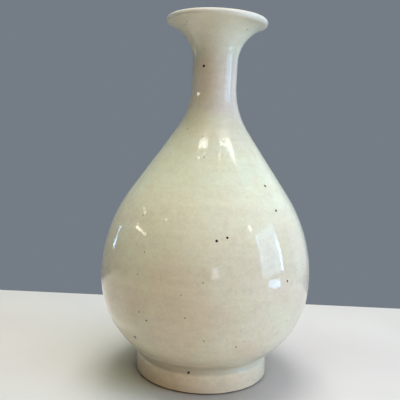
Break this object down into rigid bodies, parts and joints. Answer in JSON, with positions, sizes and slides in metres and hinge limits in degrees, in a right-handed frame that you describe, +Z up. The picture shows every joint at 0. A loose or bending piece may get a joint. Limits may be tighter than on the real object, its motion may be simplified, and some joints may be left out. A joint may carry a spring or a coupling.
{
  "type": "bottle vase",
  "caption": "Pear-shaped ceramic bottle vase with a flared mouth, slender neck and ring foot, thrown in luted sections and glazed ivory; holds stems or liquid.",
  "frame": {"origin": "centre of the foot ring on the plane that the vase stands on", "axes": "+Z up the axis of the turned form to the mouth; the picture looks along +Y"},
  "size_m": [0.179, 0.179, 0.3],
  "materials": {
    "fired_clay": "bare fired stoneware, matt",
    "fired_slip": "fired slip, matt",
    "ivory_glaze": "glossy ivory glaze with small iron specks"
  },
  "bodies": {
    "root": {"foot_ring": "fired_clay", "lower_body": "fired_clay", "upper_body": "fired_clay", "neck_and_mouth": "fired_clay", "foot_luting_slip": "fired_slip", "belly_luting_slip": "fired_slip", "neck_luting_slip": "fired_slip", "outer_glaze": "ivory_glaze", "inner_glaze": "ivory_glaze", "base_glaze": "ivory_glaze"}
  },
  "joints": []
}
